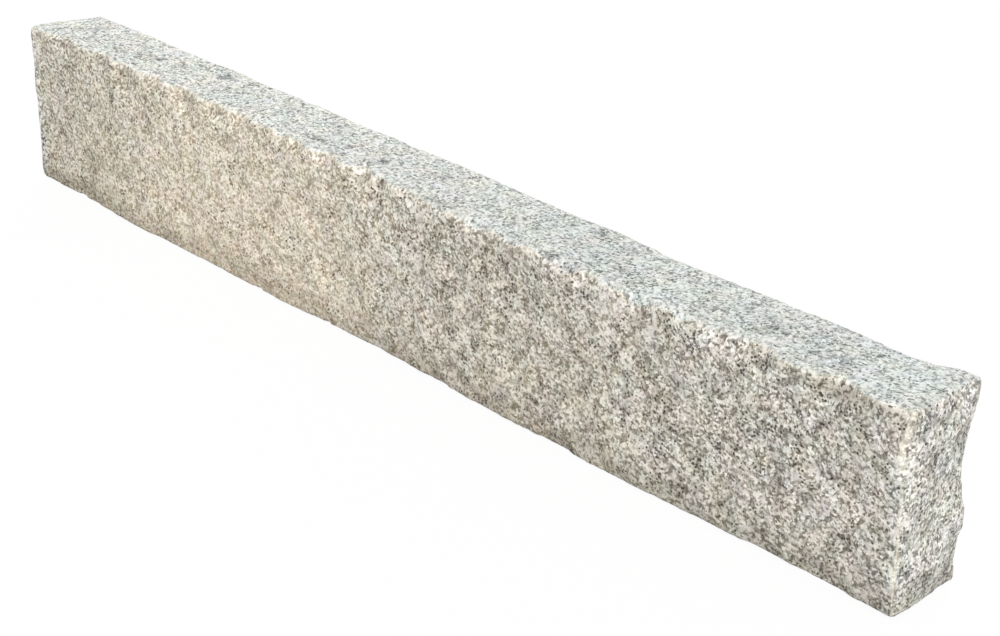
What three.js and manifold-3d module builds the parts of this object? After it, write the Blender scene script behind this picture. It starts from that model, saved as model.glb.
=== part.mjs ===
// Granite kerb stone: one bar of granite, standing on its bed.
//
// X runs along the kerb with the near end at +X, the front face looks to -Y and +Z is up. Millimetres.
// The bed and the top are dressed flat. The front, the back and both ends are split, so they swell and
// hollow gently, and flakes are spalled off their arrises.
import * as THREE from 'three';
import { mergeVertices } from 'three/addons/utils/BufferGeometryUtils.js';
import { ImprovedNoise } from 'three/addons/math/ImprovedNoise.js';
import Module from 'manifold-3d';

// ---- Driving dimensions ----

const LENGTH = 1000; // between the general planes of the two ends
const THICKNESS = 70; // between the general planes of the two split faces
const HEIGHT = 150; // from the bed to the dressed top
const ARRIS_RADIUS = 2.5; // wear all along every arris
const FACET = 15; // longest side of a facet on the split faces

// Roughness left by splitting: each layer of it is one wave length and one height.
const SPLIT_WAVES = [
  { length: 95, height: 1.6 },
  { length: 38, height: 0.9 },
];

// Broad swells (+) and hollows (-) of the split faces. A place on the front and the back is the distance
// from the near end and the height over the bed. `along` and `up` are how far the swell reaches each way.
const FRONT_SWELLS = [
  { fromEnd: 740, height: HEIGHT, along: 260, up: 60, out: -3.4 },
  { fromEnd: 300, height: HEIGHT, along: 120, up: 50, out: 3.2 },
  { fromEnd: 950, height: 10, along: 55, up: 70, out: -3 },
  { fromEnd: 850, height: 0, along: 40, up: 60, out: 1.8 },
  { fromEnd: 540, height: 10, along: 65, up: 80, out: -3.4 },
  { fromEnd: 260, height: 20, along: 110, up: 80, out: 2.2 },
  { fromEnd: 90, height: 30, along: 80, up: 80, out: -1.6 },
];
const BACK_SWELLS = [
  { fromEnd: 9, height: HEIGHT, along: 19, up: 26, out: 11.5 },
  { fromEnd: 0, height: 88, along: 60, up: 18, out: -2 },
  { fromEnd: 0, height: 45, along: 60, up: 24, out: 2.4 },
  { fromEnd: 235, height: HEIGHT, along: 55, up: 50, out: -2.8 },
  { fromEnd: 318, height: HEIGHT, along: 24, up: 40, out: 2 },
  { fromEnd: 400, height: HEIGHT, along: 60, up: 60, out: -1 },
  { fromEnd: 485, height: HEIGHT, along: 25, up: 40, out: 1.6 },
  { fromEnd: 788, height: HEIGHT, along: 18, up: 40, out: 2.4 },
  { fromEnd: 985, height: HEIGHT, along: 25, up: 60, out: -2.5 },
  { fromEnd: 300, height: 50, along: 120, up: 45, out: -2.5 },
  { fromEnd: 640, height: 60, along: 150, up: 50, out: 2.5 },
];
// A place on an end is the distance from the front face and the height over the bed.
const NEAR_END_SWELLS = [
  { fromFront: 34, height: 75, along: 90, up: 120, out: 2 },
  { fromFront: 60, height: HEIGHT, along: 40, up: 24, out: -1.6 },
  { fromFront: 24, height: 131, along: 24, up: 9, out: -2 },
  { fromFront: 0, height: 113, along: 20, up: 16, out: -2.4 },
  { fromFront: 62, height: 90, along: 30, up: 24, out: -2.4 },
  { fromFront: 14, height: 8, along: 34, up: 30, out: 4.4 },
];
const FAR_END_SWELLS = [
  { fromFront: 0, height: 75, along: 60, up: 120, out: 5 },
  { fromFront: 0, height: HEIGHT, along: 22, up: 20, out: 2.5 },
  { fromFront: 66, height: HEIGHT, along: 30, up: 60, out: -14 },
  { fromFront: 0, height: 26, along: 30, up: 20, out: 1 },
  { fromFront: 36, height: 60, along: 40, up: 40, out: -2 },
];

// Flakes spalled off an arris: [distance from its start, length along it, bite into the flat face,
// drop down the split face]. The long arrises start at the near end.
const FRONT_TOP_FLAKES = [
  [8, 30, 5.5, 14],
  [61, 32, 10, 24],
  [127, 46, 9, 25],
  [159, 24, 6, 12],
  [177, 20, 5, 10],
  [191, 24, 6, 5],
  [206, 20, 4, 8],
  [232, 32, 10, 9],
  [255, 26, 5, 4],
  [282, 30, 6.5, 14],
  [300, 28, 9, 7.5],
  [322, 26, 4, 4],
  [358, 30, 6.5, 5],
  [400, 36, 8.5, 6.5],
  [438, 26, 5, 4],
  [473, 34, 5, 12],
  [511, 26, 6.5, 12],
  [532, 26, 9.5, 18],
  [574, 34, 8, 17],
  [613, 28, 7, 14],
  [630, 20, 6, 10],
  [654, 42, 3, 10],
  [690, 40, 7.5, 16],
  [722, 38, 7.5, 17],
  [767, 42, 9.5, 24],
  [813, 44, 6.5, 14],
  [854, 34, 5.5, 16],
  [889, 40, 7.5, 18],
  [945, 42, 7.5, 17],
];
const FRONT_BED_FLAKES = [
  [57, 64, 3, 16],
  [113, 54, 2, 13],
  [165, 46, 2, 9],
  [305, 54, 3, 14],
  [442, 38, 3, 12],
  [505, 60, 2, 18],
  [581, 40, 3, 15],
  [672, 66, 3, 18],
  [802, 54, 2, 13],
  [930, 76, 3, 20],
  [984, 34, 3, 12],
];
const BACK_TOP_FLAKES = [
  [60, 54, 2, 14],
  [140, 60, 2, 12],
  [262, 56, 3, 18],
  [370, 60, 2, 14],
  [454, 54, 2, 12],
  [550, 40, 2, 11],
  [612, 56, 2, 14],
  [680, 60, 2, 16],
  [870, 70, 2, 14],
];
const BACK_BED_FLAKES = [
  [60, 60, 3, 16],
  [148, 72, 4, 20],
  [236, 56, 2, 12],
  [341, 70, 4, 18],
  [470, 62, 3, 15],
  [566, 74, 4, 22],
  [686, 50, 2, 12],
  [775, 66, 3, 16],
  [893, 64, 3, 16],
];
// Those of an end's top and bed arrises start at the front face, those of its upright arrises at the bed.
const END_TOP_FLAKES = [
  [18, 40, 2, 9],
  [50, 40, 2, 12],
];
const END_BED_FLAKES = [
  [56, 30, 1.5, 10],
];
const END_UPRIGHT_FLAKES = [
  [24, 52, 2, 9],
  [72, 56, 1.5, 8],
  [118, 50, 2, 10],
];

const SCAR_HOLLOW = 0.03; // depth of a scar's hollow as a share of its chord, from flat face to split face
const SCAR_FULLNESS = 3; // height of the spalled body over the depth of its scar: more is gentler ends
const SCAR_LEAN = THREE.MathUtils.degToRad(24); // most that a scar turns away from square to its arris
const SCAR_RINGS = 3; // facets from the middle of a scar to its rim
const SCAR_SIDES = 12; // facets round it
const RIM_ANGLE = Math.PI / 3; // how far round the spalled body the facets of its scar reach

// ---- Relief of the split faces ----

const noise = new ImprovedNoise();

// Roughness at a place on a split face; `layer` keeps the faces from repeating each other.
function splitRoughness(along, up, layer) {
  let sum = 0;
  for (const wave of SPLIT_WAVES) {
    sum += wave.height * noise.noise(along / wave.length, up / wave.length, layer);
  }
  return sum;
}

function swellHeight(swells, along, up, placeOf) {
  let sum = 0;
  for (const swell of swells) {
    const acrossIt = (along - placeOf(swell)) / swell.along;
    const upIt = (up - swell.height) / swell.up;
    sum += swell.out * Math.exp(-acrossIt * acrossIt - upIt * upIt);
  }
  return sum;
}

const fromEnd = (swell) => LENGTH / 2 - swell.fromEnd;
const fromFront = (swell) => swell.fromFront - THICKNESS / 2;

const frontRelief = (x, z) => swellHeight(FRONT_SWELLS, x, z, fromEnd) + splitRoughness(x, z, 1.5);
const backRelief = (x, z) => swellHeight(BACK_SWELLS, x, z, fromEnd) + splitRoughness(x, z, 7.5);
const nearRelief = (y, z) => swellHeight(NEAR_END_SWELLS, y, z, fromFront) + splitRoughness(y, z, 13.5);
const farRelief = (y, z) => swellHeight(FAR_END_SWELLS, y, z, fromFront) + splitRoughness(y, z, 19.5);

// Moves a point of the plain block to its place on the split stone. Heights don't change, so the bed and
// the top stay flat.
function applyRelief(point) {
  const { x, y, z } = point;
  const towardsNear = x / LENGTH + 0.5;
  const towardsBack = y / THICKNESS + 0.5;
  point.x += towardsNear * nearRelief(y, z) - (1 - towardsNear) * farRelief(y, z);
  point.y += towardsBack * backRelief(x, z) - (1 - towardsBack) * frontRelief(x, z);
}

// ---- Plain block with worn arrises ----

// Places of the grid lines across one side of the block, from -half to +half: one on each worn arris and
// even ones between.
function gridLines(side) {
  const half = side / 2;
  const flat = half - ARRIS_RADIUS;
  const count = Math.max(1, Math.round((2 * flat) / FACET));
  const lines = [-half];
  for (let i = 0; i <= count; i += 1) {
    lines.push(-flat + (2 * flat * i) / count);
  }
  lines.push(half);
  return lines;
}

// Draws a point of the square block in onto the rounded arris or corner that it lies by.
function roundArris(point, half) {
  const inner = new THREE.Vector3(
    THREE.MathUtils.clamp(point.x, -half.x + ARRIS_RADIUS, half.x - ARRIS_RADIUS),
    THREE.MathUtils.clamp(point.y, -half.y + ARRIS_RADIUS, half.y - ARRIS_RADIUS),
    THREE.MathUtils.clamp(point.z, -half.z + ARRIS_RADIUS, half.z - ARRIS_RADIUS),
  );
  point.sub(inner).setLength(ARRIS_RADIUS).add(inner);
}

function plainBlock() {
  const size = new THREE.Vector3(LENGTH, THICKNESS, HEIGHT);
  const half = size.clone().multiplyScalar(0.5);
  const lines = { x: gridLines(size.x), y: gridLines(size.y), z: gridLines(size.z) };
  const geometry = new THREE.BoxGeometry(
    size.x, size.y, size.z, lines.x.length - 1, lines.y.length - 1, lines.z.length - 1,
  );
  const position = geometry.getAttribute('position');
  const point = new THREE.Vector3();
  for (let i = 0; i < position.count; i += 1) {
    point.fromBufferAttribute(position, i);
    for (const axis of ['x', 'y', 'z']) {
      const step = Math.round((point[axis] / size[axis] + 0.5) * (lines[axis].length - 1));
      point[axis] = lines[axis][step];
    }
    roundArris(point, half);
    position.setXYZ(i, point.x, point.y, point.z + half.z);
  }
  return geometry;
}

// ---- Flakes ----

// The body that a flake takes away, as the lower half of a ball of radius 1 with a flat lid.
function halfBall() {
  const profile = [];
  for (let i = 0; i <= SCAR_RINGS; i += 1) {
    const angle = (RIM_ANGLE * i) / SCAR_RINGS;
    profile.push(new THREE.Vector2(Math.sin(angle), -Math.cos(angle)));
  }
  profile.push(new THREE.Vector2(1, 0), new THREE.Vector2(0, 0));
  return new THREE.LatheGeometry(profile, SCAR_SIDES);
}

// One flake off an arris. `along` runs with the arris, `over` into the flat face and `down` along the
// split face, all three of length 1 and square to each other. The scar passes through the end of the bite
// on the flat face and the end of the drop on the split face.
function flakeAt(arris, [distance, length, bite, drop]) {
  const chord = Math.hypot(bite, drop);
  const cornerHeight = (bite * drop) / chord;
  const hollow = SCAR_HOLLOW * chord;
  const bodyHeight = SCAR_FULLNESS * (cornerHeight + hollow);
  const chordLevel = 1 - hollow / bodyHeight;
  const cornerLevel = 1 - 1 / SCAR_FULLNESS;
  const reachOfSlope = chord / 2 / Math.sqrt(1 - chordLevel * chordLevel);
  const reachAlong = length / 2 / Math.sqrt(1 - cornerLevel * cornerLevel);

  const slope = arris.down.clone().multiplyScalar(drop).addScaledVector(arris.over, -bite).normalize();
  const outward = arris.over.clone().multiplyScalar(-drop).addScaledVector(arris.down, -bite).normalize();
  slope.applyAxisAngle(outward, SCAR_LEAN * Math.sin(distance));
  const side = new THREE.Vector3().crossVectors(outward, slope);
  const middle = arris.start.clone()
    .addScaledVector(arris.along, distance)
    .addScaledVector(arris.over, bite / 2)
    .addScaledVector(arris.down, drop / 2)
    .addScaledVector(outward, bodyHeight - hollow);
  const geometry = halfBall();
  geometry.scale(reachAlong, bodyHeight, reachOfSlope);
  geometry.applyMatrix4(new THREE.Matrix4().makeBasis(side, outward, slope));
  geometry.translate(middle.x, middle.y, middle.z);
  return geometry;
}

const X = new THREE.Vector3(1, 0, 0);
const Y = new THREE.Vector3(0, 1, 0);
const Z = new THREE.Vector3(0, 0, 1);
const minus = (vector) => vector.clone().negate();
const corner = (x, y, z) => new THREE.Vector3((x * LENGTH) / 2, (y * THICKNESS) / 2, z * HEIGHT);

const ARRISES = [
  { start: corner(1, -1, 1), along: minus(X), over: Y, down: minus(Z), flakes: FRONT_TOP_FLAKES },
  { start: corner(1, -1, 0), along: minus(X), over: Y, down: Z, flakes: FRONT_BED_FLAKES },
  { start: corner(1, 1, 1), along: minus(X), over: minus(Y), down: minus(Z), flakes: BACK_TOP_FLAKES },
  { start: corner(1, 1, 0), along: minus(X), over: minus(Y), down: Z, flakes: BACK_BED_FLAKES },
  { start: corner(1, -1, 1), along: Y, over: minus(X), down: minus(Z), flakes: END_TOP_FLAKES },
  { start: corner(1, -1, 0), along: Y, over: minus(X), down: Z, flakes: END_BED_FLAKES },
  { start: corner(1, -1, 0), along: Z, over: minus(X), down: Y, flakes: END_UPRIGHT_FLAKES },
  { start: corner(1, 1, 0), along: Z, over: minus(X), down: minus(Y), flakes: END_UPRIGHT_FLAKES },
  { start: corner(-1, -1, 1), along: Y, over: X, down: minus(Z), flakes: END_TOP_FLAKES },
  { start: corner(-1, -1, 0), along: Y, over: X, down: Z, flakes: END_BED_FLAKES },
  { start: corner(-1, -1, 0), along: Z, over: X, down: Y, flakes: END_UPRIGHT_FLAKES },
  { start: corner(-1, 1, 0), along: Z, over: X, down: minus(Y), flakes: END_UPRIGHT_FLAKES },
];

// ---- The stone ----

const wasm = await Module();
wasm.setup();

function toSolid(geometry) {
  const plain = new THREE.BufferGeometry();
  plain.setAttribute('position', geometry.getAttribute('position'));
  plain.setIndex(geometry.getIndex());
  const merged = mergeVertices(plain, 1e-3);
  return new wasm.Manifold(new wasm.Mesh({
    numProp: 3,
    vertProperties: new Float32Array(merged.getAttribute('position').array),
    triVerts: new Uint32Array(merged.getIndex().array),
  }));
}

function toGeometry(solid) {
  const mesh = solid.getMesh();
  const geometry = new THREE.BufferGeometry();
  geometry.setAttribute('position', new THREE.BufferAttribute(mesh.vertProperties, 3));
  geometry.setIndex(new THREE.BufferAttribute(mesh.triVerts, 1));
  return geometry;
}

function kerbStoneGeometry() {
  let stone = toSolid(plainBlock());
  for (const arris of ARRISES) {
    for (const flake of arris.flakes) {
      stone = stone.subtract(toSolid(flakeAt(arris, flake)));
    }
  }
  const geometry = toGeometry(stone);
  const position = geometry.getAttribute('position');
  const point = new THREE.Vector3();
  for (let i = 0; i < position.count; i += 1) {
    point.fromBufferAttribute(position, i);
    applyRelief(point);
    position.setXYZ(i, point.x, point.y, point.z);
  }
  geometry.computeBoundingBox();
  const middle = geometry.boundingBox.getCenter(new THREE.Vector3());
  geometry.translate(-middle.x, -middle.y, 0);
  geometry.computeVertexNormals();
  return geometry;
}

const granite = new THREE.MeshStandardMaterial({ color: 0xc9c6bc, roughness: 0.85, metalness: 0 });
const kerbStone = new THREE.Mesh(kerbStoneGeometry(), granite);
kerbStone.name = 'kerb_stone';

const group = new THREE.Group();
group.add(kerbStone);
export default group;
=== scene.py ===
"""Granite kerb stone: dresses the stone's solid in split and dressed granite, and sets the stage for it."""
import math
from functools import partial
from types import SimpleNamespace

import bpy
import numpy as np
from mathutils import Matrix, Vector


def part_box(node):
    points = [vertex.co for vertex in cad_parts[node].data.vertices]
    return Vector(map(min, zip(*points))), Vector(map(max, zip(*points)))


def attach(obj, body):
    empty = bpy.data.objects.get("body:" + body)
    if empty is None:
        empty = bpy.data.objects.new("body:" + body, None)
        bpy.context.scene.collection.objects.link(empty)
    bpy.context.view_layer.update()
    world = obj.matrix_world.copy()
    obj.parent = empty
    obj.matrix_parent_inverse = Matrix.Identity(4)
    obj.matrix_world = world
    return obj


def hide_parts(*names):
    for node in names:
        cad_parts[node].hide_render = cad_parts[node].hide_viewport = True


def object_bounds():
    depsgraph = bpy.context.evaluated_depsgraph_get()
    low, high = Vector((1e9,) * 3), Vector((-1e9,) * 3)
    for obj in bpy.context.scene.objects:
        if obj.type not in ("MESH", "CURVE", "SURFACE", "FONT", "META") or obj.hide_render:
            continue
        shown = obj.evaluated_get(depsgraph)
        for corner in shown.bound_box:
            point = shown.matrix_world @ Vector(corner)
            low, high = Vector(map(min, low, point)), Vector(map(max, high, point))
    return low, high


bl_info = {
    "name": "Granite kerb stone",
    "version": (1, 0, 0),
    "blender": (4, 5, 0),
    "location": "View3D > Sidebar > Kerb stone",
    "description": "Gives a granite kerb stone its split and dressed surfaces, its grain and a plain stage",
    "category": "Object",
}

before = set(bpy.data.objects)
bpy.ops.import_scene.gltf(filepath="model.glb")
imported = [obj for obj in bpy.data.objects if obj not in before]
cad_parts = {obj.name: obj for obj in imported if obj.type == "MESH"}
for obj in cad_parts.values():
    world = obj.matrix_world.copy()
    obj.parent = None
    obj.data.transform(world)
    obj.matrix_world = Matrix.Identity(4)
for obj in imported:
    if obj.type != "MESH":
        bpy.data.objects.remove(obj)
CAD_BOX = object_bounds()

MM = 0.001
NODE = "kerb_stone"
HEIGHT = CAD_BOX[1][2]
HALF_LENGTH = 500 * MM  # from the middle to the general plane of an end, which single swells stand out from

# The front is at -Y, the near end at +X and the dressed top at +Z.


def linear(hex_colour):
    """An sRGB hex value as a linear colour with full alpha."""
    channels = [int(hex_colour[i:i + 2], 16) / 255 for i in (1, 3, 5)]
    return tuple(c / 12.92 if c <= 0.04045 else ((c + 0.055) / 1.055) ** 2.4 for c in channels) + (1.0,)


# ---- Settings ----

class KerbStoneSettings(bpy.types.PropertyGroup):
    """Sizes of the stone's relief and the colours of its minerals"""
    mesh_step: bpy.props.FloatProperty(
        name="Mesh step", description="Side of the mesh squares that carry the relief",
        default=2.2 * MM, min=1.5 * MM, max=10 * MM, unit="LENGTH", precision=4)
    shell_relief: bpy.props.FloatProperty(
        name="Shell relief", description="Height of the broad shells that the wedges broke off",
        default=4.5 * MM, min=0, max=10 * MM, unit="LENGTH", precision=4)
    split_relief: bpy.props.FloatProperty(
        name="Split relief", description="Height of the broken lumps on the split faces",
        default=2.8 * MM, min=0, max=8 * MM, unit="LENGTH", precision=4)
    ridge_relief: bpy.props.FloatProperty(
        name="Ridge relief", description="Height of the oblique ridges that the split left on the ends",
        default=1.2 * MM, min=0, max=6 * MM, unit="LENGTH", precision=4)
    grain_relief: bpy.props.FloatProperty(
        name="Grain relief", description="Height of single grains that stand out of the split faces",
        default=0.9 * MM, min=0, max=4 * MM, unit="LENGTH", precision=4)
    dressed_relief: bpy.props.FloatProperty(
        name="Dressed relief", description="Roughness that dressing leaves on the top and the bed",
        default=0.65 * MM, min=0, max=2 * MM, unit="LENGTH", precision=4)
    arris_bite: bpy.props.FloatProperty(
        name="Arris bite", description="How far small chips bite into the arrises",
        default=1.7 * MM, min=0, max=12 * MM, unit="LENGTH", precision=4)
    grain_size: bpy.props.FloatProperty(
        name="Grain size", description="Usual width of a feldspar or quartz grain",
        default=1.9 * MM, min=1 * MM, max=8 * MM, unit="LENGTH", precision=4)
    feldspar: bpy.props.FloatVectorProperty(
        name="Feldspar", description="Colour of the cream feldspar", default=linear("#E0DFDB"),
        subtype="COLOR", size=4, min=0, max=1)
    quartz: bpy.props.FloatVectorProperty(
        name="Quartz", description="Colour of the grey quartz", default=linear("#A6A5A1"),
        subtype="COLOR", size=4, min=0, max=1)
    mica: bpy.props.FloatVectorProperty(
        name="Mica", description="Colour of the black mica", default=linear("#2B2A28"),
        subtype="COLOR", size=4, min=0, max=1)


class KerbStageSettings(bpy.types.PropertyGroup):
    """Floor, camera and lights"""
    floor_size: bpy.props.FloatProperty(
        name="Floor size", description="Side of the square floor", default=12, min=2, unit="LENGTH")
    camera_place: bpy.props.FloatVectorProperty(
        name="Camera place", description="Where the camera stands", default=(1.1824, -1.0365, 0.7914),
        subtype="XYZ", unit="LENGTH")
    camera_azimuth: bpy.props.FloatProperty(
        name="Azimuth",
        description="Side that the camera looks from, turned from the front towards the near end",
        default=math.radians(46.45), subtype="ANGLE")
    camera_elevation: bpy.props.FloatProperty(
        name="Elevation", description="How far the camera looks down", default=math.radians(26.05),
        subtype="ANGLE")
    camera_roll: bpy.props.FloatProperty(
        name="Roll", description="How far the camera is tilted sideways", default=math.radians(0.83),
        subtype="ANGLE")
    camera_lens: bpy.props.FloatProperty(
        name="Lens", description="Focal length on a sensor 36 mm wide", default=78.31, min=10, unit="CAMERA")
    sky_light: bpy.props.FloatProperty(
        name="Sky light", description="Strength of the even light from all round", default=0.6, min=0)
    key_light: bpy.props.FloatProperty(
        name="Key light", description="Strength of the soft light from above the near end",
        default=2.85, min=0)
    key_from: bpy.props.FloatVectorProperty(
        name="Key from", description="Direction that the key light comes from",
        default=(0.62, -0.53, 0.63), subtype="DIRECTION")
    fill_light: bpy.props.FloatProperty(
        name="Fill light", description="Strength of the weaker light on the back and the far end",
        default=1.0, min=0)
    fill_from: bpy.props.FloatVectorProperty(
        name="Fill from", description="Direction that the fill light comes from",
        default=(-0.45, 0.75, 0.28), subtype="DIRECTION")
    softness: bpy.props.FloatProperty(
        name="Softness", description="How wide the key light and the fill light look from the stone",
        default=math.radians(24), subtype="ANGLE")


# ---- Nodes ----

def node(tree, kind, *inputs, stops=(), **settings):
    """Adds a shader node with its settings and links.

    The inputs in order go to the sockets that the node shows. A setting is the node's own or, if the node
    has none of that name, a socket. A socket takes a constant, a hex colour, an output, or a node, which
    stands for its first output. The stops of a colour ramp are pairs of a place and a colour or grey level.
    """
    new = tree.nodes.new("ShaderNode" + kind)
    for name, value in settings.items():
        if hasattr(new, name):
            setattr(new, name, value)
    values = list(zip([socket for socket in new.inputs if socket.enabled], inputs))
    values += [(new.inputs[name.replace("_", " ")], value) for name, value in settings.items()
               if not hasattr(new, name)]
    for socket, value in values:
        if isinstance(value, bpy.types.Node):
            value = next(output for output in value.outputs if output.enabled)
        if isinstance(value, bpy.types.NodeSocket):
            tree.links.new(value, socket)
        else:
            socket.default_value = linear(value) if isinstance(value, str) else value
    if stops:
        elements = new.color_ramp.elements
        while len(elements) < len(stops):
            elements.new(0.5)
        for element, (place, colour) in zip(elements, stops):
            element.position = place
            if isinstance(colour, float):
                colour = (colour, colour, colour, 1.0)
            element.color = linear(colour) if isinstance(colour, str) else colour
    return new


# How a Mix node lays its second colour over its first, and what a Math node does.
COVER = {"data_type": "RGBA", "blend_type": "MIX"}
STAIN = {"data_type": "RGBA", "blend_type": "MULTIPLY"}
SHARPEN = {"data_type": "RGBA", "blend_type": "OVERLAY"}
DRIFT = {"data_type": "RGBA", "blend_type": "SOFT_LIGHT"}
TIMES = {"operation": "MULTIPLY"}
TIMES_PLUS = {"operation": "MULTIPLY_ADD"}


# ---- Granite ----

def places_on_stone(tree):
    """Links that tell where a point lies on the stone, for the stains and the wear to read.

    `way` runs from 0 at the far end to 1 at the near end, `up` is the height over the bed, and `split`,
    `on_end`, `long_face` and `struck` are shares from 0 to 1.
    """
    add = partial(node, tree)
    place = add("TexCoord").outputs["Object"]
    axes = add("SeparateXYZ", place)
    way = add("Math", axes.outputs["X"], HALF_LENGTH, operation="ADD")
    from_middle = add("Math", axes.outputs["X"], operation="ABSOLUTE")
    on_end = add("MapRange", from_middle, interpolation_type="SMOOTHSTEP", From_Min=HALF_LENGTH - 16 * MM,
                 From_Max=HALF_LENGTH)

    # The dressed top ends in a ragged line along its struck arrises.
    struck = add("Attribute", attribute_name="bruise").outputs["Fac"]
    ragged = add("TexNoise", place, Scale=1 / (20 * MM), Detail=4.0, Roughness=0.6)
    raggedness = add("Math", ragged, 0.5, operation="SUBTRACT")
    wander = add("Math", raggedness, add("Math", struck, 4.0, **TIMES), **TIMES)
    split = add("Attribute", attribute_name="split").outputs["Fac"]
    split = add("ValToRGB", add("Math", split, wander, operation="ADD"), stops=((0.35, 0.0), (0.65, 1.0)))
    long_face = add("Math", split, add("Math", 1.0, on_end, operation="SUBTRACT"), **TIMES)
    return SimpleNamespace(
        place=place, way=way, up=axes.outputs["Z"], on_end=on_end, struck=struck, ragged=ragged,
        raggedness=raggedness, split=split, long_face=long_face)


def bare_rock(tree, place, settings):
    """The fresh rock: its crystals, its mica and the drifts of light and dark through it."""
    add = partial(node, tree)
    per_grain = 1 / settings.grain_size

    # Grains aren't neat cells, so each place is shaken by up to 0.15 of a grain.
    shake = add("TexNoise", place, Scale=per_grain * 1.2, Detail=1.0).outputs["Color"]
    shake = add("VectorMath", shake, (0.5, 0.5, 0.5), operation="SUBTRACT")
    grain_place = add("VectorMath", shake, (settings.grain_size * 0.3,) * 3, place, **TIMES_PLUS)
    grains = add("TexVoronoi", grain_place, Scale=per_grain)
    grain = add("SeparateColor", grains.outputs["Color"])
    colours = add("ValToRGB", grain.outputs["Red"], stops=(
        (0.0, "#6E6E6C"), (0.1, "#8E8E8B"), (0.32, settings.quartz), (0.5, "#CACAC6"),
        (0.68, settings.feldspar), (0.88, "#F4F4F2"), (1.0, "#FFFFFE")))

    # Crystals of a few grains are milky or clear as a whole, and cleavage flecks each of them.
    crystals = add("TexVoronoi", grain_place, Scale=1 / (3.6 * MM))
    crystal = add("SeparateColor", crystals.outputs["Color"])
    milky = add("ValToRGB", crystal.outputs["Red"], stops=((0.0, 0.2), (1.0, 0.8)))
    colours = add("Mix", 0.9, colours, milky, **SHARPEN)
    cleavage = add("TexNoise", place, Scale=1 / (3 * MM), Detail=3.0, Roughness=0.85)
    flecked = add("ValToRGB", cleavage, stops=((0.36, 0.1), (0.64, 0.9)))
    colours = add("Mix", 1.0, colours, flecked, **SHARPEN)

    # Mica: thin black flakes in loose clots. Real ones are about 1 mm across, too fine to show, so they are
    # drawn about twice as wide.
    flakes = add("TexVoronoi", place, Scale=1 / (2.5 * MM))
    flake = add("SeparateColor", flakes.outputs["Color"])
    clots = add("TexNoise", place, Scale=1 / (12 * MM), Detail=3.0)
    threshold = add("Math", clots, -2.4, 2.1, **TIMES_PLUS)
    is_flake = add("Math", flake.outputs["Green"], threshold, operation="GREATER_THAN")
    in_flake = add("ValToRGB", flakes.outputs["Distance"], stops=((0.36, 1.0), (0.47, 0.0)))
    mica = add("Math", is_flake, in_flake, **TIMES)
    colours = add("Mix", add("Math", mica, 0.97, **TIMES), colours, settings.mica, **COVER)

    # Dark seams wind between the crystals, where thin mica or an open joint shows.
    seams = add("TexNoise", place, Scale=1 / (5 * MM), Detail=2.0)
    on_seam = add("ValToRGB", seams, stops=((0.455, 0.0), (0.485, 1.0), (0.5, 0.0)))
    broken = add("ValToRGB", clots, stops=((0.42, 0.1), (0.6, 0.8)))
    colours = add("Mix", add("Math", on_seam, broken, **TIMES), colours, "#8A8986", **STAIN)

    # Here and there mica is gathered into one ragged dark spot, 2 to 3.5 mm across.
    jagged = add("TexNoise", place, Scale=1 / (5 * MM), Detail=3.0).outputs["Color"]
    spot_place = add("VectorMath", jagged, (7 * MM,) * 3, place, **TIMES_PLUS)
    spots = add("TexVoronoi", spot_place, Scale=1 / (11 * MM))
    spot = add("SeparateColor", spots.outputs["Color"])
    in_spot = add("ValToRGB", spots.outputs["Distance"], stops=((0.1, 0.95), (0.16, 0.0)))
    is_spot = add("Math", spot.outputs["Red"], 0.75, operation="GREATER_THAN")
    colours = add("Mix", add("Math", is_spot, in_spot, **TIMES), colours, settings.mica, **COVER)

    # Cloudy light and dark drifts run through the rock, a few centimetres across.
    drifts = add("TexNoise", place, Scale=1 / (28 * MM), Detail=4.0, Roughness=0.6)
    drifts = add("ValToRGB", drifts, stops=((0.3, 0.22), (0.7, 0.78)))
    colours = add("Mix", 0.7, colours, drifts, **DRIFT)
    return SimpleNamespace(colours=colours, grain=grain, mica=mica, clots=clots)


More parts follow.
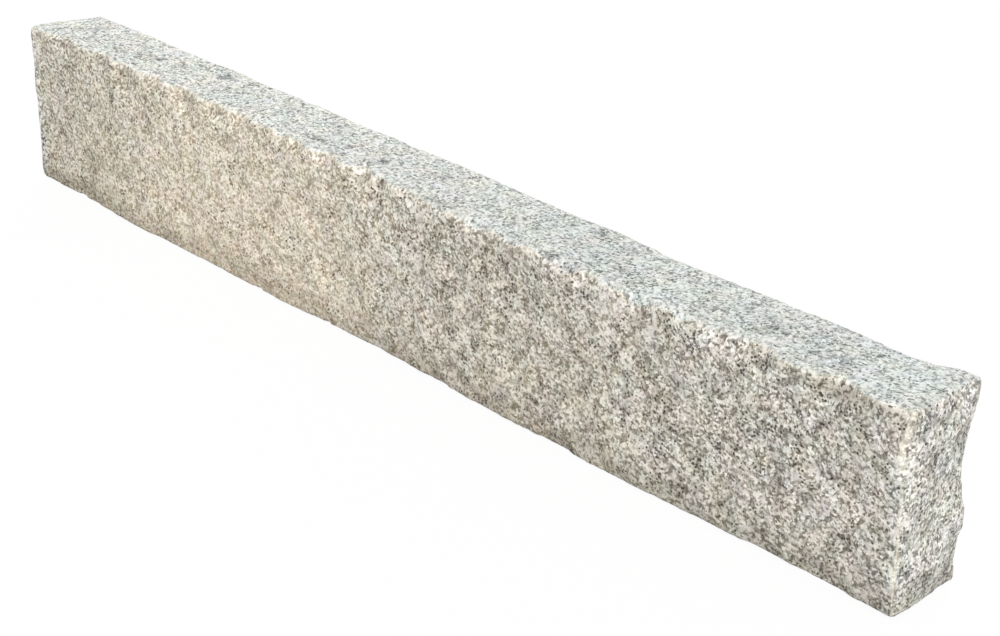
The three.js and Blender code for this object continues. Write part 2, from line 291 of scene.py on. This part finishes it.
def split_stains(tree, at, rock):
    """Stains the split faces with gathered mica, dust, a film of iron and grime, and darkens them over the
    bed.
    """
    add = partial(node, tree)

    # A split face is darker where mica gathers, and more so on its near half, where little covers it.
    gathered = add("ValToRGB", rock.clots, stops=((0.5, 0.0), (0.68, 0.57)))
    open_rock = add("ValToRGB", at.way, stops=((0.32, 0.1), (0.5, 0.5), (0.75, 1.0)))
    gathered = add("Math", add("Math", gathered, open_rock, **TIMES), at.split, **TIMES)
    colours = add("Mix", gathered, rock.colours, "#A3A29F", **STAIN)

    # A thin cream dust lies on the split faces and a greyer one on the ends. Mica sheds most of it.
    clean = add("Math", rock.mica, -0.7, 1.0, **TIMES_PLUS)
    colours = add("Mix", at.split, colours, "#FEFDFB", **STAIN)
    dusty = add("Math", add("Math", at.split, clean, **TIMES), 0.04, **TIMES)
    colours = add("Mix", dusty, colours, "#D2C09C", **COVER)
    end_dust = add("Math", at.on_end, add("Math", clean, 0.1, **TIMES), **TIMES)
    colours = add("Mix", end_dust, colours, "#D6D3CB", **COVER)

    # Iron film from the joint in the rock, strongest on the far half of the long faces. Its border wanders
    # by 15 % of the length, it is uneven, and rain has thinned it towards the top.
    film = add("TexNoise", at.place, Scale=1 / (110 * MM), Detail=4.0)
    film_way = add("Math", film, 0.15, add("Math", at.way, 0.15 / 2, operation="SUBTRACT"), **TIMES_PLUS)
    film_way = add("Math", at.raggedness, 0.04, film_way, **TIMES_PLUS)
    filmed = add("ValToRGB", film_way, stops=(
        (0.0, 0.18), (0.13, 0.26), (0.25, 0.35), (0.36, 0.39), (0.43, 0.33), (0.51, 0.17), (0.74, 0.15),
        (0.82, 0.08)))
    uneven = add("ValToRGB", film, stops=((0.3, 0.85), (0.65, 1.0)))
    washed = add("MapRange", at.up, From_Min=0.0, From_Max=HEIGHT, To_Min=1.15, To_Max=0.75)
    filmed = add("Math", add("Math", filmed, uneven, **TIMES), washed, **TIMES)
    filmed = add("Math", add("Math", filmed, clean, **TIMES), at.long_face, **TIMES)
    colours = add("Mix", filmed, colours, "#F4DDB7", **COVER)

    # Grime greys the long faces by the far end and along the near half.
    grime = add("ValToRGB", at.way, stops=(
        (0.0, 1.0), (0.12, 0.8), (0.2, 0.0), (0.44, 0.0), (0.5, 0.1), (0.56, 0.6), (0.72, 0.5), (0.84, 0.4),
        (0.9, 0.05), (1.0, 0.5)))
    colours = add("Mix", add("Math", grime, at.long_face, **TIMES), colours, "#F0EFEC", **STAIN)

    # A ragged strip over the bed is darker.
    darker_by_bed = add("Math", at.ragged, -40 * MM, at.up, **TIMES_PLUS)
    darker_by_bed = add("MapRange", darker_by_bed, interpolation_type="SMOOTHSTEP", From_Min=-20 * MM, From_Max=18 * MM,
                 To_Min=1.0, To_Max=0.0)
    return add("Mix", add("Math", darker_by_bed, at.split, **TIMES), colours, "#DAD8D4", **STAIN)


def dressed_top(tree, at, colours):
    """Makes the dressed faces cooler, paler and more even than the split ones."""
    add = partial(node, tree)
    pale = add("ValToRGB", add("RGBToBW", colours), stops=(
        (0.0, "#585C5A"), (0.14, "#8E9390"), (0.3, "#B8BDB9"), (0.5, "#C9CEC9"), (0.75, "#D8DBD8"),
        (1.0, "#E9EBE9")))

    # The near half of the top is greyer, in broad bands and in smudges a few centimetres across.
    bands = add("ValToRGB", at.way, stops=(
        (0.0, 0.0), (0.38, 0.0), (0.52, 0.42), (0.62, 0.45), (0.69, 0.8), (0.76, 0.4), (0.84, 0.7),
        (0.9, 0.7), (0.95, 0.45), (1.0, 0.7)))
    pale = add("Mix", bands, pale, "#E4E4E4", **STAIN)
    smudges = add("TexNoise", at.place, Scale=1 / (24 * MM), Detail=3.0, Roughness=0.6)
    smudges = add("ValToRGB", smudges, stops=((0.6, 0.0), (0.72, 1.0)))
    pale = add("Mix", smudges, pale, "#9EA5A8", **STAIN)
    warmth = add("ValToRGB", at.way, stops=((0.4, "#FFFDFC"), (0.75, "#FDFEFF")))
    pale = add("Mix", 1.0, pale, warmth, **STAIN)
    pale = add("Mix", 0.8, colours, pale, **COVER)
    return add("Mix", add("Math", 1.0, at.split, operation="SUBTRACT"), colours, pale, **COVER)


def feldspar_tints(tree, at, colours):
    """Flesh-coloured and faintly green feldspar lie in loose patches about 2 cm across."""
    add = partial(node, tree)
    patches = add("TexNoise", at.place, Scale=1 / (18 * MM), Detail=3.0)
    patch = add("SeparateColor", patches.outputs["Color"])
    flesh = add("ValToRGB", patch.outputs["Red"], stops=((0.3, "#F7FAFD"), (0.7, "#FFFBF5")))
    green = add("ValToRGB", patch.outputs["Green"], stops=((0.3, "#FBFFFB"), (0.7, "#FFFBFE")))
    return add("Mix", 1.0, colours, add("Mix", 1.0, flesh, green, **STAIN), **STAIN)


def struck_arrises(tree, at, colours):
    """Lays on the arrises what blows do to them, and paints shade under the jutting ones."""
    add = partial(node, tree)

    # Blows bruise the crystal beside an arris, in ragged patches and all over.
    patches = add("Math", at.raggedness, 2.2, at.struck, **TIMES_PLUS)
    patches = add("ValToRGB", patches, stops=((0.62, 0.0), (0.82, 1.0)))
    patchy = add("ValToRGB", at.way, stops=((0.35, 0.3), (0.5, 1.0), (0.75, 1.0), (0.9, 0.1)))
    patches = add("Math", add("Math", patches, at.split, **TIMES), patchy, **TIMES)
    colours = add("Mix", add("Math", patches, 0.3, **TIMES), colours, "#E0DBCE", **COVER)
    bruised = add("ValToRGB", at.way, stops=((0.8, 0.4), (0.88, 0.0)))
    colours = add("Mix", add("Math", at.struck, bruised, **TIMES), colours, "#E2DED2", **COVER)

    # Painted shade: where the top arrises jut, on the far third and by the near corner, the face under them
    # is darkened in colour as if in their shade.
    level = add("Math", at.raggedness, 8 * MM, at.up, **TIMES_PLUS)
    level = add("Math", level, HEIGHT, operation="DIVIDE")
    under = add("ValToRGB", level, stops=((0.905, 0.0), (0.945, 1.0), (0.975, 1.0), (0.99, 0.0)))
    jutting = add("ValToRGB", at.way, stops=((0.0, 0.5), (0.32, 0.5), (0.4, 0.0), (0.86, 0.0), (0.91, 1.0)))
    painted_shade = add("Math", add("Math", under, jutting, **TIMES), at.long_face, **TIMES)
    colours = add("Mix", painted_shade, colours, "#E2E0DC", **STAIN)

    # Right on the front top arris and the upright ones the crystal is crushed to a pale line.
    crushed = add("Attribute", attribute_name="crushed edge").outputs["Fac"]
    strength = add("ValToRGB", at.way, stops=((0.0, 0.2), (0.35, 0.3), (0.7, 0.35), (0.85, 0.3), (1.0, 0.55)))
    return add("Mix", add("Math", crushed, strength, **TIMES), colours, "#F5EDD8", **COVER)


def granite(settings):
    """Fine-grained biotite granite, split by wedges and dressed on top.

    It is matt, because every face is a crust of broken crystal: cream and white feldspar that spreads the
    light, grey quartz that lets it in and looks darker, and thin black flakes of mica. Where a tool has
    struck, the crystals are bruised and whiter. The split faces have a thin warm film of iron from the joint
    in the rock; the dressed top has lost it and is a cooler, paler grey.
    """
    material = bpy.data.materials.new("split biotite granite")
    material.use_nodes = True
    tree = material.node_tree
    tree.nodes.clear()
    add = partial(node, tree)
    at = places_on_stone(tree)
    rock = bare_rock(tree, at.place, settings)
    colours = split_stains(tree, at, rock)
    colours = dressed_top(tree, at, colours)
    colours = feldspar_tints(tree, at, colours)
    colours = struck_arrises(tree, at, colours)

    # Painted shade and dust: the hollows between grains and lumps are darker.
    hollow = add("Attribute", attribute_name="hollow").outputs["Fac"]
    colours = add("Mix", add("Math", hollow, 0.55, **TIMES), colours, "#8D8A85", **STAIN)

    # The crust of single grains is finer than the mesh. Dressing leaves a sixth of it.
    crust = add("TexNoise", at.place, Scale=1 / (1.6 * MM), Detail=4.0, Roughness=0.65)
    height = add("Math", crust, add("Math", rock.grain.outputs["Blue"], 0.5, **TIMES), operation="ADD")
    relief = add("Math", at.split, 0.83, 0.17, **TIMES_PLUS)
    bump = add("Bump", Height=add("Math", height, relief, **TIMES), Strength=0.6, Distance=1.1 * MM)

    # Feldspar and quartz both have an IOR of about 1.54.
    shader = add("BsdfPrincipled", Base_Color=colours, Normal=bump, Roughness=0.82, IOR=1.54)
    add("OutputMaterial", shader)
    return material


# ---- Mesh tools ----

def only(obj):
    """Selects one object and nothing else."""
    bpy.ops.object.select_all(action="DESELECT")
    obj.select_set(True)
    bpy.context.view_layer.objects.active = obj


def apply_modifier(obj, kind, **settings):
    """Adds a modifier with its settings and applies it."""
    only(obj)
    modifier = obj.modifiers.new(kind.title(), kind)
    for name, value in settings.items():
        setattr(modifier, name, value)
    bpy.ops.object.modifier_apply(modifier=modifier.name)


def weight_group(obj, name, weights):
    """Keeps one weight for each vertex, in steps of a sixteenth."""
    steps = 16
    group = obj.vertex_groups.new(name=name)
    levels = np.round(np.clip(weights, 0, 1) * steps).astype(int)
    for level in range(1, steps + 1):
        group.add(np.nonzero(levels == level)[0].tolist(), level / steps, "REPLACE")


def attribute(obj, name, values):
    """Keeps one number for each vertex, for a material to read."""
    layer = obj.data.attributes.new(name, "FLOAT", "POINT")
    layer.data.foreach_set("value", np.ascontiguousarray(values, dtype=np.float32))


def vertex_array(obj, what):
    """The places ("co") or the normals ("normal") of the vertices, one row each."""
    values = np.empty(len(obj.data.vertices) * 3)
    obj.data.vertices.foreach_get(what, values)
    return values.reshape(-1, 3)


def spread(obj, values, rounds):
    """Averages values over neighbouring vertices, again and again."""
    edges = np.empty(len(obj.data.edges) * 2, dtype=int)
    obj.data.edges.foreach_get("vertices", edges)
    a, b = edges.reshape(-1, 2).T
    count = len(obj.data.vertices)
    share = 1 / (1 + np.bincount(a, minlength=count) + np.bincount(b, minlength=count))
    for _ in range(rounds):
        total = values.copy()
        for k in range(values.shape[1]):
            total[:, k] += np.bincount(a, values[b, k], count) + np.bincount(b, values[a, k], count)
        values = total * share[:, None]
    return values


def rise(values, start, end):
    """0 up to the start, 1 from the end and even between. The start may be the higher of the two."""
    return np.clip((values - start) / (end - start), 0, 1)


def clouds(name, size, depth, kind="BLENDER_ORIGINAL"):
    """A cloudy texture for relief; `depth` is how many times finer clouds are added to it."""
    texture = bpy.data.textures.new(name, "CLOUDS")
    texture.noise_scale = size
    texture.noise_depth = depth
    texture.noise_basis = kind
    return texture


def displace(obj, texture, height, group, middle, guide=None):
    """Pushes the surface out by a texture, placed by the object itself or by a guide object."""
    if height == 0:
        return
    place = {"texture_coords": "LOCAL"}
    if guide:
        place = {"texture_coords": "OBJECT", "texture_coords_object": guide}
    apply_modifier(obj, "DISPLACE", texture=texture, strength=height, mid_level=middle, vertex_group=group,
                   **place)


# ---- Stone ----

def remeshed_copy(solid, name, step):
    """A copy of the solid's mesh with its doubles merged, in even squares."""
    copy = bpy.data.objects.new(name, solid.data.copy())
    bpy.context.scene.collection.objects.link(copy)
    copy.data.materials.clear()
    only(copy)
    bpy.ops.object.mode_set(mode="EDIT")
    bpy.ops.mesh.select_all(action="SELECT")
    bpy.ops.mesh.remove_doubles(threshold=0.01 * MM)
    bpy.ops.object.mode_set(mode="OBJECT")
    apply_modifier(copy, "REMESH", mode="VOXEL", voxel_size=step)
    return copy


def face_shares(stone):
    """How far each vertex belongs to each kind of place on the stone, from 0 to 1.

    A normal that is averaged with its neighbours' keeps its length of 1 on a flat face and gets shorter by
    an arris, to about 0.9 on it. The more rounds of averaging, the further off the arris is felt.
    """
    near = spread(stone, vertex_array(stone, "normal"), 3)
    middle = spread(stone, near, 3)
    wide = spread(stone, middle, 3)
    near_length, middle_length, wide_length = (np.linalg.norm(n, axis=1) for n in (near, middle, wide))
    upright = rise(np.abs(wide[:, 0]), 0, 0.5) * rise(np.abs(wide[:, 2]), 0.3, 0)
    front_top = rise(near[:, 2], 0, 0.3) * rise(-near[:, 1], 0, 0.2)
    beside_top = rise(middle_length, 0.97, 0.77) * rise(middle[:, 2], 0, 0.45)
    return SimpleNamespace(
        split=rise(np.abs(near[:, 2]), 0.72, 0.52),
        arris=rise(wide_length, 0.93, 0.75),
        on_end=rise(np.abs(wide[:, 0]), 0.6, 0.9),
        upright=upright,
        flaked=rise(near_length, 0.985, 0.955),
        bruise=np.maximum(beside_top, 0.5 * rise(near_length, 0.9, 0.7)),
        crushed=rise(near_length, 0.95, 0.9) * np.maximum(upright, 0.7 * front_top))


def blunt_arrises(stone, faces):
    """Blunts the corners of the far end and the flaked front top arris, short of its near end."""
    along = vertex_array(stone, "co")[:, 0]
    weight_group(stone, "far corners", faces.arris * rise(-along, 475 * MM, 495 * MM))
    apply_modifier(stone, "SMOOTH", factor=0.5, iterations=25, vertex_group="far corners")
    along, across, up = vertex_array(stone, "co").T
    flaked = faces.flaked * rise(up, 100 * MM, 120 * MM) * rise(along, 420 * MM, 370 * MM)
    flaked *= rise(-across, 0, 10 * MM) * rise(along, -490 * MM, -470 * MM)
    weight_group(stone, "flaked edge", flaked)
    apply_modifier(stone, "SMOOTH", factor=0.5, iterations=12, vertex_group="flaked edge")


def roughen(stone, faces, settings):
    """Adds the relief that is finer than the solid's, from coarse to fine.

    The ends and the uprights are less lumpy than the long faces. Worn arrises keep half of the relief, and
    a fifth of it on the far half.
    """
    along = vertex_array(stone, "co")[:, 0]
    worn = faces.arris * (0.5 + 0.3 * rise(-along, 0, 90 * MM))
    lumpy = faces.split * (1 - 0.4 * faces.on_end) * (1 - 0.4 * faces.arris) * (1 - 0.6 * faces.upright)
    weight_group(stone, "split", faces.split * (1 - worn))
    weight_group(stone, "lumpy", lumpy * (1 - worn))
    weight_group(stone, "dressed", 1 - faces.split)
    weight_group(stone, "arris", faces.arris * (1 - faces.upright) * (1 - worn))
    weight_group(stone, "open face", faces.split * (1 - faces.arris))
    weight_group(stone, "end", faces.split * faces.on_end)

    displace(stone, clouds("shells", 42 * MM, 1), settings.shell_relief, "open face", 0.5)
    displace(stone, clouds("broken lumps", 19 * MM, 2), settings.split_relief, "lumpy", 0.56)
    displace(stone, clouds("chips", 21 * MM, 2, "VORONOI_F2_F1"), settings.arris_bite, "arris", 0.5)
    ridges = bpy.data.objects.new("ridge direction", None)
    bpy.context.scene.collection.objects.link(ridges)
    ridges.rotation_euler = (math.radians(16), 0, 0)
    ridges.scale = (1, 4, 1)
    bpy.context.view_layer.update()
    displace(stone, clouds("end ridges", 7 * MM, 1), settings.ridge_relief, "end", 0.6, ridges)
    bpy.data.objects.remove(ridges)
    displace(stone, clouds("split grain", 4.5 * MM, 1), settings.grain_relief, "split", 0.58)
    displace(stone, clouds("dressed grain", 5 * MM, 1), settings.dressed_relief, "dressed", 0.7)
    stone.vertex_groups.clear()


def trim_to_solid(stone):
    """Keeps the stone inside the solid's outermost planes, and returns how hollow it was at each vertex.

    A vertex that lies 1 mm under the grains around it counts as 1, and so does one 3.5 mm under the lumps.
    """
    places = vertex_array(stone, "co")
    low, high = (np.array(corner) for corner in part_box(NODE))
    stone.data.vertices.foreach_set("co", np.clip(places, low, high).ravel())
    stone.data.update()
    facing = vertex_array(stone, "normal")
    among_grains = spread(stone, places, 5)
    among_lumps = spread(stone, among_grains, 35)
    grain_depth = np.einsum("ij,ij->i", among_grains - places, facing)
    lump_depth = np.einsum("ij,ij->i", among_lumps - places, facing)
    return grain_depth / (1 * MM) + lump_depth / (3.5 * MM)


class KERB_OT_stone(bpy.types.Operator):
    """Model the granite kerb stone over its solid"""
    bl_idname = "kerb.stone"
    bl_label = "Kerb stone"

    def execute(self, context):
        settings = context.scene.kerb_stone
        stone = remeshed_copy(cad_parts[NODE], "granite_stone", settings.mesh_step)
        faces = face_shares(stone)
        blunt_arrises(stone, faces)
        roughen(stone, faces, settings)
        hollow = trim_to_solid(stone)
        attribute(stone, "split", faces.split)
        attribute(stone, "bruise", faces.bruise)
        attribute(stone, "crushed edge", faces.crushed)
        # How deep each vertex lies in a hollow, for the material's painted shade and dust.
        attribute(stone, "hollow", np.clip(hollow * (1 - faces.arris), 0, 1))

        only(stone)
        bpy.ops.object.shade_smooth()
        stone.data.materials.append(granite(settings))
        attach(stone, "root")
        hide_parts(NODE)
        return {"FINISHED"}


# ---- Stage ----

def white_share(tree, share):
    """The share of plain white where a surface is seen directly, in gloss or through glass, otherwise 0."""
    path = node(tree, "LightPath").outputs
    seen = node(tree, "Math", path["Is Camera Ray"], path["Is Glossy Ray"], operation="MAXIMUM")
    seen = node(tree, "Math", seen, path["Is Transmission Ray"], operation="MAXIMUM")
    return node(tree, "Math", seen, share, **TIMES)


def white_floor(size):
    """A matt white floor that keeps the stone's shadow, most of it whitened for the eye."""
    bpy.ops.object.select_all(action="DESELECT")
    bpy.ops.mesh.primitive_plane_add(size=size)
    floor = bpy.context.active_object
    floor.name = "floor"
    material = bpy.data.materials.new("matt white studio floor")
    material.use_nodes = True
    tree = material.node_tree
    tree.nodes.clear()

    # The white is a little over 1, so that the lit floor comes out white with the grey share mixed in.
    matt = node(tree, "BsdfDiffuse", "#BCBCBC")
    white = node(tree, "Emission", "#FFFFFF", 1.1)
    node(tree, "OutputMaterial", node(tree, "MixShader", white_share(tree, 0.8), matt, white))
    floor.data.materials.append(material)
    return floor


def white_sky(strength):
    """An even light from all round that looks plain white behind the stone."""
    world = bpy.data.worlds.new("even white sky")
    world.use_nodes = True
    tree = world.node_tree
    tree.nodes.clear()
    light = node(tree, "Background", "#FFFFFF", strength)
    white = node(tree, "Background", "#FFFFFF", 1.0)
    node(tree, "OutputWorld", node(tree, "MixShader", white_share(tree, 1.0), light, white))
    return world


def soft_light(name, strength, comes_from, softness):
    """An even light from one side; the softer it is, the wider it looks."""
    lamp = bpy.data.lights.new(name, "SUN")
    lamp.energy = strength
    lamp.angle = softness
    holder = bpy.data.objects.new(name, lamp)
    bpy.context.scene.collection.objects.link(holder)
    holder.rotation_euler = Vector(comes_from).to_track_quat("Z", "Y").to_euler()


def camera_turn(azimuth, elevation, roll):
    """The camera's right, up and back as a matrix that turns it."""
    back = Vector((math.sin(azimuth) * math.cos(elevation), -math.cos(azimuth) * math.cos(elevation),
                   math.sin(elevation)))
    level = Vector((0, 0, 1)).cross(back).normalized()
    upright = back.cross(level)
    right = level * math.cos(roll) + upright * math.sin(roll)
    up = upright * math.cos(roll) - level * math.sin(roll)
    return Matrix((right, up, back)).transposed().to_4x4()


class KERB_OT_stage(bpy.types.Operator):
    """Set the floor, the soft light and the camera"""
    bl_idname = "kerb.stage"
    bl_label = "Stage"

    def execute(self, context):
        settings = context.scene.kerb_stage
        floor = white_floor(settings.floor_size)
        context.scene.world = white_sky(settings.sky_light)
        soft_light("key light", settings.key_light, settings.key_from, settings.softness)
        soft_light("fill light", settings.fill_light, settings.fill_from, settings.softness)

        camera = bpy.data.objects.new("camera", bpy.data.cameras.new("camera"))
        context.scene.collection.objects.link(camera)
        turn = camera_turn(settings.camera_azimuth, settings.camera_elevation, settings.camera_roll)
        camera.matrix_world = Matrix.Translation(settings.camera_place) @ turn
        camera.data.lens = settings.camera_lens
        camera.data.sensor_width = 36
        camera.data.clip_end = 100
        context.scene.camera = camera
        context.scene.view_settings.view_transform = "Standard"
        return {"FINISHED"}


# ---- Sidebar and start ----

class KERB_PT_sidebar(bpy.types.Panel):
    """Lists the stone and its stage with their settings"""
    bl_label = "Kerb stone"
    bl_idname = "KERB_PT_sidebar"
    bl_space_type = "VIEW_3D"
    bl_region_type = "UI"
    bl_category = "Kerb stone"

    def draw(self, context):
        for title, group, operator in (("Stone", context.scene.kerb_stone, KERB_OT_stone),
                                       ("Stage", context.scene.kerb_stage, KERB_OT_stage)):
            box = self.layout.box()
            box.label(text=title)
            for name in group.__annotations__:
                box.prop(group, name)
            box.operator(operator.bl_idname)


CLASSES = (KerbStoneSettings, KerbStageSettings, KERB_OT_stone, KERB_OT_stage, KERB_PT_sidebar)


def register():
    for cls in CLASSES:
        bpy.utils.register_class(cls)
    bpy.types.Scene.kerb_stone = bpy.props.PointerProperty(type=KerbStoneSettings)
    bpy.types.Scene.kerb_stage = bpy.props.PointerProperty(type=KerbStageSettings)


def unregister():
    del bpy.types.Scene.kerb_stage
    del bpy.types.Scene.kerb_stone
    for cls in reversed(CLASSES):
        bpy.utils.unregister_class(cls)


def main():
    register()
    bpy.ops.kerb.stone()
    bpy.ops.kerb.stage()


if __name__ == "__main__":
    main()
